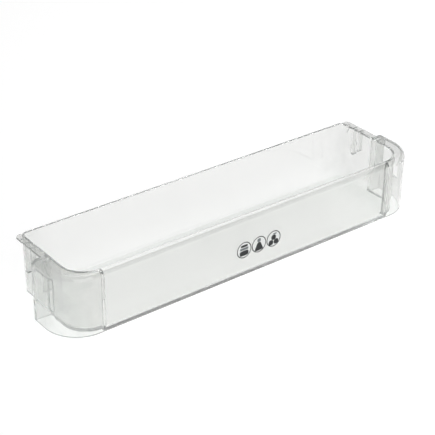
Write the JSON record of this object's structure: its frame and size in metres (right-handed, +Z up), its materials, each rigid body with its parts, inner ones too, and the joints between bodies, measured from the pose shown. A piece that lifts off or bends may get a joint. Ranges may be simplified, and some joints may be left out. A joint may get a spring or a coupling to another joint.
{
  "type": "fridge door bottle shelf",
  "caption": "Clear moulded fridge door shelf: a long open trough with hollow rounded front corners, a rolled front rim, and end channels that slide down over lugs in the door.",
  "frame": {"origin": "middle of the shelf's footprint, on the surface it stands on", "axes": "+X along the shelf, to the right seen from the front; +Y from the front panel to the door side; +Z up out of the trough"},
  "size_m": [0.488, 0.114, 0.0715],
  "materials": {
    "clear_polystyrene": "clear, polished mould surface"
  },
  "bodies": {
    "root": {"bottle_shelf": "clear_polystyrene"}
  },
  "joints": []
}
